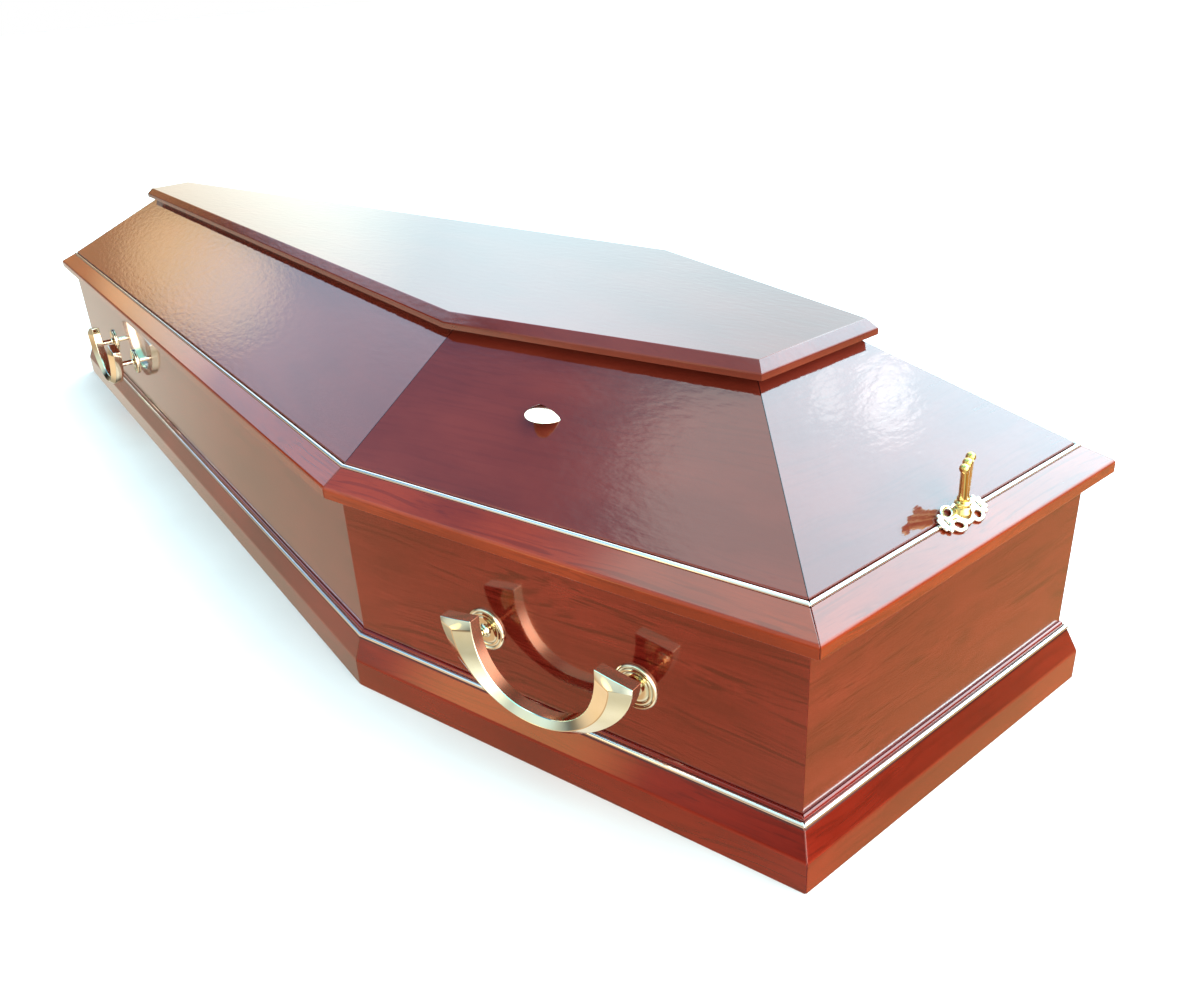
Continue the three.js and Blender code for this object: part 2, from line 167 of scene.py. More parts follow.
def mixed(tree, factor, first, second, blend="MIX"):
    """Two colours mixed by a factor."""
    inputs = {"Fac": factor, "Color1": first, "Color2": second}
    return add_node(tree, "MixRGB", inputs, blend_type=blend).outputs["Color"]


FINISH_ENDING = "_finish"


def new_finish(slot, variant=""):
    """An empty material for one material slot of the coffin, its node tree and its surface shader."""
    material = bpy.data.materials.new(slot + FINISH_ENDING + variant)
    material.use_nodes = True
    tree = material.node_tree
    tree.nodes.clear()
    shader = add_node(tree, "BsdfPrincipled")
    add_node(tree, "OutputMaterial", {"Surface": shader.outputs["BSDF"]})
    return material, tree, shader


print("node helpers ready")

# %% [markdown]
# ## Stained and varnished wood
#
# The boards are stained a red brown that lets the grain show: soft clouds, fine wavy lines and short
# pores, drawn out along the board. Over it lies a thick clear varnish, which mirrors the surroundings and
# has a faint ripple. The dye under it mirrors a little too, but red, and that gives the deep glow of such
# a finish. So the shader has two glosses: a clear coat, and below it a specular layer with a red tint. A
# picture of wood would need unwrapping and would repeat. Noise that is squeezed across the grain and
# stretched along it gives endless boards, as long as the noise knows each board's own directions. So each
# mesh carries two values: as "grain", where a point lies in its board, with X along the grain, and a rub
# value, how far its edge is rubbed. The stain is thin where an edge is rubbed, and dark where it gathers
# in corners and joints. The same value also paints shade: a near-black line of painted shade in the gap
# under each bead, and painted shade in the hollow under the top board.

# %% Wood finish
# Patches to the metre, along the grain and across it.
WANDER, BANDS, STREAKS, LINES = (2.2, 8.0), (1.6, 40.0), (11.0, 480.0), (3.4, 260.0)
PORES, CLOUDS, RIPPLES = (45.0, 1300.0), (6.0, 13.0), (55.0, 150.0)
WANDER_DEPTH = (0, 0.08, 0.08)
BAND_SHARE = 0.20
STREAK_SHARE = 0.38
GATHERED_STAIN_AND_PAINTED_SHADE = (0.012, 0.003, 0.003, 1)
GRAIN_DEPTH = 0.00001
UNDER_GLOSS_IOR = 1.8
VARNISH_ROUGHNESS = 0.035
VARNISH_IOR = 1.5


def stretched_noise(tree, place, along, across, detail=2.0, roughness=0.5):
    """Noise with so many patches to the metre, along the grain and across it."""
    mapping = add_node(tree, "Mapping", {"Vector": place, "Scale": (along, across, across)})
    inputs = {"Vector": mapping.outputs["Vector"], "Scale": 1.0, "Detail": detail, "Roughness": roughness}
    return add_node(tree, "TexNoise", inputs)


def varnished_wood(slot, tones, figure, under_gloss, ripple, variant=""):
    """Wood with three tones of stain, a share of figure, a tinted gloss and a depth of varnish ripple."""
    material, tree, shader = new_finish(slot, variant)
    dark, middle, light = tones
    place = add_node(tree, "Attribute", attribute_name="grain").outputs["Vector"]

    wander = stretched_noise(tree, place, *WANDER).outputs["Color"]
    bent = add_node(tree, "VectorMath", {0: wander, 1: WANDER_DEPTH, 2: place}, operation="MULTIPLY_ADD")
    grain = bent.outputs["Vector"]
    bands = stretched_noise(tree, grain, *BANDS, detail=3.0).outputs["Fac"]
    streaks = stretched_noise(tree, grain, *STREAKS, detail=4.0, roughness=0.65).outputs["Fac"]
    lines = stretched_noise(tree, grain, *LINES).outputs["Fac"]
    pores = stretched_noise(tree, place, *PORES, detail=1.0).outputs["Fac"]
    clouds = stretched_noise(tree, place, *CLOUDS, detail=4.0).outputs["Fac"]

    banded = calculated(tree, "MULTIPLY", bands, BAND_SHARE)
    streak_share = STREAK_SHARE * figure
    streaked = add_node(tree, "Math", {0: streaks, 1: streak_share, 2: banded}, operation="MULTIPLY_ADD")
    cloud_inputs = {0: clouds, 1: 1 - BAND_SHARE - streak_share, 2: streaked.outputs["Value"]}
    clouded = add_node(tree, "Math", cloud_inputs, operation="MULTIPLY_ADD").outputs["Value"]
    stain = colour_stops(tree, clouded, [(0.39, dark), (0.50, middle), (0.62, light)])
    deep = (*[value * 0.42 for value in dark], 1)
    thinned = scaled_to(tree, bands, 0.36, 0.56)
    lined = calculated(tree, "MULTIPLY", scaled_to(tree, lines, 0.50, 0.64), thinned)
    stain = mixed(tree, calculated(tree, "MULTIPLY", lined, figure), stain, deep)
    stain = mixed(tree, scaled_to(tree, pores, 0.62, 0.76, 0.0, 0.8 * figure), stain, deep)

    rub = add_node(tree, "Attribute", attribute_name="rub").outputs["Fac"]
    rubbed = scaled_to(tree, rub, 0.0, 1.0, 0.0, 0.35)
    stain = mixed(tree, rubbed, stain, (*[value * 1.4 for value in light], 1))
    # Below zero the rub darkens the stain towards near black: gathered stain in corners and joints, and
    # painted shade in the gap under each bead and in the hollow under the top board.
    gathered_stain_and_shade = scaled_to(tree, rub, 0.0, -1.0, 0.0, 0.85)
    stain = mixed(tree, gathered_stain_and_shade, stain, GATHERED_STAIN_AND_PAINTED_SHADE)
    tree.links.new(stain, shader.inputs["Base Color"])

    flow = stretched_noise(tree, place, *RIPPLES).outputs["Fac"]
    rippled = add_node(tree, "Bump", {"Height": flow, "Distance": ripple, "Strength": 1.0}).outputs["Normal"]
    grained = add_node(tree, "Bump", {"Height": streaks, "Distance": GRAIN_DEPTH, "Normal": rippled})
    tree.links.new(grained.outputs["Normal"], shader.inputs["Normal"])
    tree.links.new(rippled, shader.inputs["Coat Normal"])
    tree.links.new(scaled_to(tree, streaks, 0.3, 0.7, 0.10, 0.18), shader.inputs["Roughness"])
    shader.inputs["IOR"].default_value = UNDER_GLOSS_IOR
    shader.inputs["Specular IOR Level"].default_value = 1.0
    shader.inputs["Specular Tint"].default_value = (*under_gloss, 1)
    shader.inputs["Coat Weight"].default_value = 1.0
    shader.inputs["Coat Roughness"].default_value = VARNISH_ROUGHNESS
    shader.inputs["Coat IOR"].default_value = VARNISH_IOR
    return material


BOX_STAIN = [(0.058, 0.0030, 0.0020), (0.096, 0.0055, 0.0037), (0.138, 0.0098, 0.0065)]
BASE_STAIN = [(0.098, 0.0031, 0.0012), (0.135, 0.0047, 0.0017), (0.172, 0.0070, 0.0025)]
# The rim shares the moulding's wood, but its copy of the finish has a lighter, more orange stain: painted
# light, standing in for the warm light and reflection on the rim that the soft lights do not give.
RIM_STAIN_PAINTED_LIGHT = [(0.150, 0.0135, 0.0028), (0.195, 0.0190, 0.0038), (0.240, 0.0250, 0.0055)]
LID_STAIN = [(0.110, 0.0130, 0.0067), (0.127, 0.0157, 0.0083), (0.147, 0.0190, 0.0101)]
box_wood = varnished_wood("box_wood", BOX_STAIN, 0.90, (0.85, 0.14, 0.03), 0.00002)
base_wood = varnished_wood("moulding_wood", BASE_STAIN, 0.40, (0.36, 0.05, 0.013), 0.00002)
rim_wood_painted_light = varnished_wood("moulding_wood", RIM_STAIN_PAINTED_LIGHT, 0.40, (0.10, 0.03, 0.012), 0.00002, "_rim")
lid_wood = varnished_wood("lid_wood", LID_STAIN, 0.14, (0.08, 0.015, 0.010), 0.00017)
print("wood finishes:", [finish.name for finish in (box_wood, base_wood, rim_wood_painted_light, lid_wood)])

# %% [markdown]
# ## Plated metal
#
# The handles are die castings under a bright pale gold plating. The thumbscrews are a deeper gold, their
# plates are nearly white, and the beads are silver. Polished metal shows mostly what is around it, so its
# own colour varies little: a slow drift in the tint, faint smears in the gloss and a trace of casting
# wave. What sits in a groove is drawn darker.

# %% Metal finish


def plated_metal(slot, bright, deep, gloss, wave, variant=""):
    """Polished plating that drifts between two tints."""
    material, tree, shader = new_finish(slot, variant)
    place = add_node(tree, "TexCoord").outputs["Object"]
    drift = stretched_noise(tree, place, 28.0, 28.0, 3.0).outputs["Fac"]
    tint = colour_stops(tree, drift, [(0.35, deep), (0.65, bright)])
    rub = add_node(tree, "Attribute", attribute_name="rub").outputs["Fac"]
    grooved = scaled_to(tree, rub, 0.0, -1.0, 0.0, 0.6)
    tint = mixed(tree, grooved, tint, (*[value * 0.35 for value in deep], 1))
    tree.links.new(tint, shader.inputs["Base Color"])
    smears = stretched_noise(tree, place, 90.0, 160.0, 3.0).outputs["Fac"]
    tree.links.new(scaled_to(tree, smears, 0.3, 0.75, gloss * 0.7, gloss * 1.6), shader.inputs["Roughness"])
    swell = stretched_noise(tree, place, 60.0, 60.0, 1.0).outputs["Fac"]
    cast = add_node(tree, "Bump", {"Height": swell, "Distance": wave, "Strength": 1.0})
    tree.links.new(cast.outputs["Normal"], shader.inputs["Normal"])
    shader.inputs["Metallic"].default_value = 1.0
    return material


gold_plate = plated_metal("gold_plate", (0.95, 0.90, 0.72), (0.90, 0.83, 0.60), 0.06, 0.00008)
deep_gold = plated_metal("gold_plate", (0.80, 0.60, 0.22), (0.66, 0.46, 0.13), 0.10, 0.00005, "_deep")
screw_plate = plated_metal("screw_plate", (0.90, 0.86, 0.74), (0.80, 0.73, 0.56), 0.16, 0.00005)
silver_bead = plated_metal("silver_bead", (0.97, 0.95, 0.91), (0.93, 0.90, 0.85), 0.12, 0.00003)
print("metal finishes:", [finish.name for finish in (gold_plate, deep_gold, screw_plate, silver_bead)])

# %% [markdown]
# ## From points to pieces
#
# Every piece below is built from its own points, in a frame of its own that runs along its wall. A helper
# notes those points as the grain, each board in a stretch of the wood of its own, and moves the mesh to
# its place. The object could be turned instead, but its box would then be measured askew. The helper also
# gives the piece its finish, fixes it to the coffin and lets it stand in for its solid. Sharp arrises
# stay sharp, and weighted normals keep broad flat faces flat right up to their rounded edges, which a
# mirror finish would show at once.

# %% Helpers for pieces
SHARP_ANGLE = math.radians(38)
BOARD_SPREAD = Vector((3.1, 2.3, 1.7))


def add_piece(name, mesh, finish, nodes, place=Matrix.Identity(4)):
    """Puts a mesh on the coffin as one piece, in place of the solids that are named, and keeps its grain."""
    grain = mesh.attributes.new("grain", "FLOAT_VECTOR", "POINT")
    for vertex, spot in zip(mesh.vertices, grain.data):
        spot.vector = vertex.co + place.translation * BOARD_SPREAD
    mesh.transform(place)
    piece = bpy.data.objects.new(name, mesh)
    bpy.context.scene.collection.objects.link(piece)
    mesh.materials.append(finish)
    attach(piece, "root")
    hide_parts(*nodes)
    finish.name.split(FINISH_ENDING)[0]
    return piece


def closed_mesh(name, points, faces, rubs_and_shades=None):
    """A mesh whose faces all point outwards, with the rub of each point."""
    mesh = bpy.data.meshes.new(name)
    mesh.from_pydata(points, [], faces)
    shape = bmesh.new()
    shape.from_mesh(mesh)
    bmesh.ops.recalc_face_normals(shape, faces=shape.faces)
    shape.to_mesh(mesh)
    shape.free()
    if rubs_and_shades:
        mesh.attributes.new("rub", "FLOAT", "POINT").data.foreach_set("value", rubs_and_shades)
    mesh.shade_smooth()
    mesh.set_sharp_from_angle(angle=SHARP_ANGLE)
    return mesh


def skin_faces(ring_count, ring_size, capped=True):
    """Faces between rings of points that follow each other, and a cap on the first and the last."""
    faces = []
    for start in range(0, (ring_count - 1) * ring_size, ring_size):
        for i in range(ring_size):
            j = (i + 1) % ring_size
            faces.append((start + i, start + j, start + ring_size + j, start + ring_size + i))
    if capped:
        faces.append(tuple(range(ring_size)))
        faces.append(tuple(range((ring_count - 1) * ring_size, ring_count * ring_size)))
    return faces


def keep_flats(piece):
    """Weights the normals by area, so that flat faces shade flat."""
    modifier = piece.modifiers.new("keep_flats", "WEIGHTED_NORMAL")
    modifier.keep_sharp = True
    modifier.weight = 100


print("piece helpers ready")

# %% [markdown]
# ## Reading a moulding's section
#
# A joiner knows a moulding by its section, the outline that shows where it is cut across. The solid of
# each run holds it: its mitred end is one flat face. After the triangles of that face are dissolved into
# one, its corners in order are the section, as distance out from the wall and height. Reading it keeps
# every size the same as the solid's.

# %% Read a section
HEAD_X = max(corner.x for corner in plan)


def read_section(node):
    """The section of a run across the head end, as a list of (out, height), from the face at its mitre."""
    shape = bmesh.new()
    shape.from_mesh(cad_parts[node].data)
    bmesh.ops.remove_doubles(shape, verts=shape.verts, dist=1e-6)
    bmesh.ops.dissolve_limit(shape, angle_limit=1e-3, verts=shape.verts, edges=shape.edges)
    end = max(shape.faces, key=lambda face: (len(face.verts), face.normal.y))
    section = [(vertex.co.x - HEAD_X, vertex.co.z) for vertex in end.verts]
    shape.free()
    if shoelace(section) < 0:
        section.reverse()
    return section


def shoelace(section):
    """Twice the area of a section: positive where its points run counter-clockwise."""
    return sum(a[0] * b[1] - b[0] * a[1] for a, b in zip(section, section[1:] + section[:1]))


for prefix in ("wall", "base_moulding", "lid_rim", "lid_panel", "base_bead", "lid_bead"):
    found = read_section(f"{prefix}_head")
    print(prefix, [(round(out * 1000, 1), round(height * 1000, 1)) for out, height in found])

# %% [markdown]
# ## Eased arrises
#
# No joiner leaves a dead sharp edge under varnish: each arris is eased with sandpaper, and the varnish
# rounds it further. A bevel modifier could do it, but here every corner of the section is replaced by a
# short curve, because then each point can also say how much it is rubbed. Outer corners are rubbed light,
# and inner corners stay dark.

# %% Ease a section
EASE_STEPS = 4


def eased(section, ease, special=None):
    """A section with rounded corners, as (out, height, rub). Special ones have their own radius and rub."""
    points = []
    for i, corner in enumerate(section):
        before = Vector(section[i - 1]) - Vector(corner)
        after = Vector(section[(i + 1) % len(section)]) - Vector(corner)
        outer = 1.0 if before.cross(after) < 0 else -1.0
        reach, rub = (special or {}).get(corner, (ease, outer))
        reach = min(reach, before.length * 0.45, after.length * 0.45)
        first = Vector(corner) + before.normalized() * reach
        last = Vector(corner) + after.normalized() * reach
        for step in range(EASE_STEPS + 1):
            t = step / EASE_STEPS
            point = first * (1 - t) ** 2 + Vector(corner) * (2 * t * (1 - t)) + last * t**2
            points.append((point.x, point.y, rub * math.sin(math.pi * t)))
    return points


print("a wall's eased section has", len(eased(read_section("wall_head"), 0.001)), "points")

# %% [markdown]
# ## Mitred runs
#
# Walls, mouldings, rim and lid panels are all lengths of one section, cut to a mitre at both ends. Each
# run is lofted from rings of its section: one at the mitre, drawn in by a hair, and one just before it,
# so that a fine groove shows at every joint as it does on the real coffin. The run sits in the frame of
# its edge, with X along the grain.

# %% Helper for runs
JOINT_GAP = 0.0003
JOINT_EASE = 0.0009


def drawn_in(section, distance):
    """A section whose points are moved a little towards its middle."""
    middle = Vector((sum(p[0] for p in section), sum(p[1] for p in section))) / len(section)
    points = []
    for out, height, rub in section:
        inward = (middle - Vector((out, height))).normalized() * distance
        points.append((out + inward.x, height + inward.y, rub))
    return points


def run_mesh(name, section, first_edge, edge_count=1, end_rub=0.0):
    """A mitred length of a section along one edge or more, in the frame of the first edge."""
    last_edge = first_edge + edge_count - 1
    to_local = edge_frame(first_edge).inverted()
    drawn = [(out, height, end_rub) for out, height, _ in drawn_in(section, JOINT_EASE)]
    stations = [(first_edge, JOINT_GAP / 2, drawn), (first_edge, JOINT_GAP / 2 + JOINT_EASE, section)]
    stations += [(corner, 0.0, section) for corner in range(first_edge + 1, last_edge + 1)]
    stations.append((last_edge + 1, -JOINT_GAP / 2 - JOINT_EASE, section))
    stations.append((last_edge + 1, -JOINT_GAP / 2, drawn))
    points, rubs_and_shades = [], []
    for corner, shift, outline in stations:
        way = edge_way(first_edge if shift > 0 else last_edge)
        for out, height, rub in outline:
            spot = offset_corner(corner, out) + way * shift
            points.append(to_local @ Vector((spot.x, spot.y, height)))
            rubs_and_shades.append(rub)
    return closed_mesh(name, points, skin_faces(len(stations), len(section)), rubs_and_shades)


def add_runs(prefix, section, finish, end_rub):
    """One run on each of the six edges."""
    for edge, place in enumerate(EDGE_NAMES):
        name = f"{prefix}_{place}"
        mesh = run_mesh(name, section, edge, end_rub=end_rub)
        keep_flats(add_piece(f"{name}_varnished", mesh, finish, [name], edge_frame(edge)))
    print(prefix, "runs:", len(EDGE_NAMES), "with", len(section), "points in the section")


# %% [markdown]
# ## Walls, base moulding and rim
#
# The walls are plain boards, eased by about a millimetre. The base moulding has a rounded arris above its
# upright face. The rim is the piece that hands touch most, and its outer arris is well rounded: it shows
# in the photograph as a pale band along the whole side. A near-black line of painted shade runs along the
# beads, for the shadow in the gap under them. Only these radii are new here, because the rest is read from
# the solids.

# %% Make the box and the rim
WALL_EASE = 0.0012
MOULDING_EASE = 0.0006
BASE_ARRIS = 0.0025
RIM_ARRIS = 0.0030
BEAD_SHADE = 0.0022


def outer_arris(section):
    """The top corner of the outermost face of a section."""
    reach = max(out for out, _ in section)
    return max((point for point in section if point[0] > reach - 1e-5), key=lambda point: point[1])


def below_bead(section, bead):
    """The corner of a section that is nearest to the outer, lower end of a bead's flat back."""
    foot = min(read_section(bead), key=lambda point: point[1])
    return min(section, key=lambda point: math.dist(point, foot))


def add_moulding(prefix, bead, arris, finish):
    """A moulding on all six edges, with a round arris and a line of painted shade along its bead."""
    section = read_section(f"{prefix}_head")
    # The corner under the bead gets a near-black rub: painted shade in the gap under the bead.
    special = {below_bead(section, bead): (BEAD_SHADE, -1.0), outer_arris(section): (arris, 1.0)}
    add_runs(prefix, eased(section, MOULDING_EASE, special), finish, -0.5)


add_runs("wall", eased(read_section("wall_head"), WALL_EASE), box_wood, 0.9)
add_moulding("base_moulding", "base_bead_head", BASE_ARRIS, base_wood)
add_moulding("lid_rim", "lid_bead_head", RIM_ARRIS, rim_wood_painted_light)

# %% [markdown]
# ## Lid panels and the top board
#
# The six sloping panels meet along the hips in thin dark lines. The level board on top overhangs them,
# with a shallow hollow under its edge and a bevel above. It is housed on the panels, so they run a little
# way up under it. It is one board, so it is not made of mitred runs: rings of the plan are stacked from
# its underside to its top, and the solid says how far out and how high each step of the edge is.

# %% Make the lid
PANEL_EASE = 0.0008
BOARD_LAP = 0.0065
COVE_STEPS = 6
COVE_HOLLOW = 0.10
BOARD_EASE = 0.0008

panel_section = read_section("lid_panel_head")
panel_top = max(height for _, height in panel_section)
panel_head = max(point for point in panel_section if point[1] == panel_top)
panel_foot = max(panel_section, key=lambda point: (point[0], point[1]))
panel_slope = math.atan2(panel_head[1] - panel_foot[1], panel_foot[0] - panel_head[0])
lap = (-BOARD_LAP / math.tan(panel_slope), BOARD_LAP)
print("panels slope at", round(math.degrees(panel_slope), 1), "degrees")


def lapped(point):
    """A point of the panel, moved up the slope under the top board if it is at its upper edge."""
    return (point[0] + lap[0], point[1] + lap[1]) if point[1] == panel_top else point


lapped_section = [lapped(point) for point in panel_section]
hidden_corner = {lapped(panel_head): (PANEL_EASE, 0.0)}
add_runs("lid_panel", eased(lapped_section, PANEL_EASE, hidden_corner), lid_wood, -1.0)


def board_edge():
    """The edge of the top board from its underside to its top, with a shallow hollow below its face."""
    reach_at = {}
    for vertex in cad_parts["lid_top_board"].data.vertices:
        height = round(vertex.co.z, 5)
        reach_at[height] = max(reach_at.get(height, -1.0), vertex.co.x - HEAD_X)
    levels = sorted(reach_at.items())
    (bottom, bottom_out), (face_top, face_out), (top, top_out) = levels[0], levels[-2], levels[-1]
    cove_top = min(height for height, out in levels if abs(out - face_out) < 1e-5)
    first, last = Vector((bottom_out + lap[0], bottom + lap[1])), Vector((face_out, cove_top))
    inward = Vector((first.y - last.y, last.x - first.x)) * COVE_HOLLOW
    edge = []
    for step in range(COVE_STEPS + 1):
        t = step / COVE_STEPS
        point = first.lerp(last, t) + inward * math.sin(math.pi * t)
        # The hollow is darker towards the underside of the board: painted shade under its overhang.
        edge.append((point.x, point.y, -0.25 * (1 - t)))
    edge.append((face_out, cove_top + BOARD_EASE, 0.6))
    edge.append((face_out, face_top - BOARD_EASE, 0.0))
    edge.append((face_out - BOARD_EASE / 2, face_top + BOARD_EASE / 2, 0.8))
    slope = (Vector((top_out, top)) - Vector((face_out, face_top))).normalized() * BOARD_EASE
    edge += [(face_out + 2 * slope.x, face_top + 2 * slope.y, 0.0), (top_out - slope.x, top - slope.y, 0.0)]
    edge += [(top_out - 0.3 * BOARD_EASE, top - 0.1 * BOARD_EASE, 0.6), (top_out - BOARD_EASE, top, 0.0)]
    return edge


def add_board(name, edge, finish):
    """A level board as rings of the plan, one for each step of its edge from bottom to top."""
    points, rubs_and_shades = [], []
    for out, height, rub in edge:
        for corner in range(6):
            points.append((*offset_corner(corner, out), height))
            rubs_and_shades.append(rub)
    mesh = closed_mesh(name, points, skin_faces(len(edge), 6), rubs_and_shades)
    keep_flats(add_piece(f"{name}_varnished", mesh, finish, [name]))
    print(name, "edge:", len(edge), "steps")


add_board("lid_top_board", board_edge(), lid_wood)

# %% [markdown]
# ## The floor board
#
# Only the underside of the floor board can be seen, and only from below. It is a plain board of the same
# plan, so the stack of rings makes it too, with a hair off its edges.

# %% Make the floor board
FLOOR_EASE = 0.0008

floor_low, floor_high = (corner.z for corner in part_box("floor_board"))
floor_edge = [(-FLOOR_EASE, floor_low, 0.4), (0.0, floor_low + FLOOR_EASE, 0.4)]
floor_edge += [(0.0, floor_high - FLOOR_EASE, 0.4), (-FLOOR_EASE, floor_high, 0.4)]
add_board("floor_board", floor_edge, box_wood)

# %% [markdown]
# ## Bright beads
#
# A half-round silver bead lies in a groove of the base moulding, and another one where the rim meets the
# lid. On the long sides one length is bent around the shoulder. The solid has a coarse round of a few
# facets, which a polished bead would show, so its flat back is read and a finer round is drawn over it.

# %% Make the beads
BEAD_STEPS = 14


def bead_section(node):
    """A half-round on the flat back of a bead's solid, which is the longest side of its section."""
    solid = read_section(node)
    sides = list(zip(solid, solid[1:] + solid[:1]))
    start, end = max(sides, key=lambda side: math.dist(*side))
    middle = (Vector(start) + Vector(end)) / 2
    half = (Vector(end) - Vector(start)) / 2
    proud = Vector((half.y, -half.x))
    if proud.dot(Vector(solid[0]) + Vector(solid[3]) - 2 * middle) < 0:
        proud.negate()
    points = []
    for step in range(BEAD_STEPS + 1):
        turn = math.pi * step / BEAD_STEPS
        point = middle + half * math.cos(turn) + proud * math.sin(turn)
        points.append((point.x, point.y, 0.0))
    return points


for prefix in ("base_bead", "lid_bead"):
    section = bead_section(f"{prefix}_head")
    for place, first, count in (("left", 0, 2), ("head", 2, 1), ("right", 3, 2), ("foot", 5, 1)):
        mesh = run_mesh(f"{prefix}_{place}", section, first, count)
        add_piece(f"{prefix}_{place}_silver", mesh, silver_bead, [f"{prefix}_{place}"], edge_frame(first))
    print(prefix, "half-round of", len(section), "points")

# %% [markdown]
# ## Handle grips
#
# Each grip is a heavy bail with a roof-shaped section: a flat back, two short sides and two slopes that
# meet in a ridge. It is broad at its two ends, where the ridge runs out in a facet, and slim at the
# bottom. It could be swept along one curve, but then it would keep its width. Here the outer and the
# inner edge are two rounded curves of their own, and the ridge runs midway between them. A narrow bevel
# then breaks the arrises, as polishing does.

# %% Make the grips
GRIP_OUTER = {"half_span": 0.110, "top": 0.029, "bottom": -0.055, "power": 1.8}
GRIP_INNER = {"half_span": 0.0705, "top": 0.0355, "bottom": -0.042, "power": 2.3}
GRIP_BACK, GRIP_EDGE, GRIP_RIDGE, GRIP_END_RIDGE = 0.026, 0.0395, 0.0465, 0.040
GRIP_END_BEVEL = 0.945
GRIP_STEPS = 40
GRIP_ARRIS = 0.0007
GRIP_ARRIS_ANGLE = math.radians(24)
HANDLES = {"shoulder_left": 1, "shoulder_right": 3, "leg_left": 0, "leg_right": 4}


def bail_point(curve, turn):
    """A point on a rounded U, for a turn from -1 at one end to 1 at the other."""
    angle = abs(turn) * math.pi / 2
    across = math.sin(angle) ** (2 / curve["power"])
    down = math.cos(angle) ** (2 / curve["power"]) if abs(turn) < 1 else 0.0
    drop = (curve["top"] - curve["bottom"]) * down
    return Vector((math.copysign(curve["half_span"] * across, turn), curve["top"] - drop))


def grip_mesh(name):
    """The grip in the frame of its wall: X along the wall, Y into the box and Z up from the posts."""
    turns = [GRIP_END_BEVEL * step / GRIP_STEPS for step in range(-GRIP_STEPS, GRIP_STEPS + 1)]
    points = []
    for turn in [-1.0, *turns, 1.0]:
        outer, inner = bail_point(GRIP_OUTER, turn), bail_point(GRIP_INNER, turn)
        middle = (outer + inner) / 2
        ridge = GRIP_END_RIDGE if abs(turn) == 1 else GRIP_RIDGE
        section = [(outer, GRIP_BACK), (outer, GRIP_EDGE), (middle, ridge)]
        section += [(inner, GRIP_EDGE), (inner, GRIP_BACK)]
        points += [(spot.x, -out, spot.y) for spot, out in section]
    return closed_mesh(name, points, skin_faces(len(turns) + 2, 5))


def post_places(place):
    """The middle of the two posts of a handle, at the wall."""
    middles = []
    for end in ("head", "foot"):
        low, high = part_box(f"handle_post_{place}_{end}")
        middles.append((low + high) / 2)
    return middles


def on_wall(edge, point):
    """The frame of an edge, moved along it and up to a point."""
    local = edge_frame(edge).inverted() @ point
    return edge_frame(edge) @ Matrix.Translation((local.x, 0, local.z))


for place, edge in HANDLES.items():
    head_post, foot_post = post_places(place)
    name = f"handle_grip_{place}"
    middle = on_wall(edge, (head_post + foot_post) / 2)
    grip = add_piece(f"{name}_plated", grip_mesh(name), gold_plate, [name], middle)
    bevel = grip.modifiers.new("polished_arrises", "BEVEL")
    bevel.width = GRIP_ARRIS
    bevel.segments = 3
    bevel.limit_method = "ANGLE"
    bevel.angle_limit = GRIP_ARRIS_ANGLE
    keep_flats(grip)
print("grips:", len(HANDLES), "each", round(2000 * GRIP_OUTER["half_span"]), "mm wide")

# %% [markdown]
# ## Posts and rosettes
#
# A round post carries each end of a grip. It stands on a turned rosette with a rounded rim and two raised
# rings. Such a piece is a lathe job, so its profile is drawn once, from the edge of the rosette to the
# end of the post, and spun about the way out of the wall. The grooves between the rings and the foot of
# the post are marked, so that the plating is drawn darker there.

# %% Make the posts
LATHE_SIDES = 64
ROSETTE_PROFILE = [
    (0.0230, 0.0004, 0.0), (0.0230, 0.0018, 0.0), (0.0225, 0.0027, 0.0), (0.0214, 0.0033, 0.0),
    (0.0203, 0.0031, 0.0), (0.0195, 0.0024, -0.4), (0.0189, 0.0021, -1.0), (0.0183, 0.0024, -0.4),
    (0.0174, 0.0030, 0.0), (0.0163, 0.0030, 0.0), (0.0155, 0.0024, -0.4), (0.0149, 0.0021, -1.0),
    (0.0143, 0.0024, -0.4), (0.0132, 0.0030, 0.0), (0.0112, 0.0033, 0.0), (0.0088, 0.0033, 0.0),
    (0.0074, 0.0034, -0.5), (0.0064, 0.0042, -0.3), (0.0054, 0.0056, 0.0), (0.0046, 0.0076, 0.0),
]
POST_END = GRIP_BACK - JOINT_GAP


def turned_points(profile, sides, spun):
    """Rings of points around an axis, with their rub. The function spun puts each point in place."""
    points, rubs_and_shades = [], []
    for radius, height, rub in profile:
        for side in range(sides):
            points.append(spun(radius, 2 * math.pi * side / sides, height))
            rubs_and_shades.append(rub)
    return points, rubs_and_shades


def out_of_wall(radius, turn, out):
    """A point around an axis that runs out of the wall."""
    return (radius * math.cos(turn), -out, radius * math.sin(turn))


for place, edge in HANDLES.items():
    for end, middle in zip(("head", "foot"), post_places(place)):
        name = f"handle_post_{place}_{end}"
        profile = ROSETTE_PROFILE + [(ROSETTE_PROFILE[-1][0], POST_END, 0.0)]
        points, rubs_and_shades = turned_points(profile, LATHE_SIDES, out_of_wall)
        mesh = closed_mesh(name, points, skin_faces(len(profile), LATHE_SIDES), rubs_and_shades)
        keep_flats(add_piece(f"{name}_plated", mesh, gold_plate, [name], on_wall(edge, middle)))
print("posts:", 2 * len(HANDLES), "rosette", round(2000 * ROSETTE_PROFILE[0][0]), "mm across")

# %% [markdown]
# ## Lips for lifting the lid
#
# A small bright lip grows level out of each shoulder panel, just broad enough for two fingers. Its top is
# nearly flat and falls a little towards its round edge, and its underside is flatter still. A sphere is
# flattened by a different amount above and below, and then cut along the slope of the panel: it ends in a
# clean face there, with nothing inside the lid.

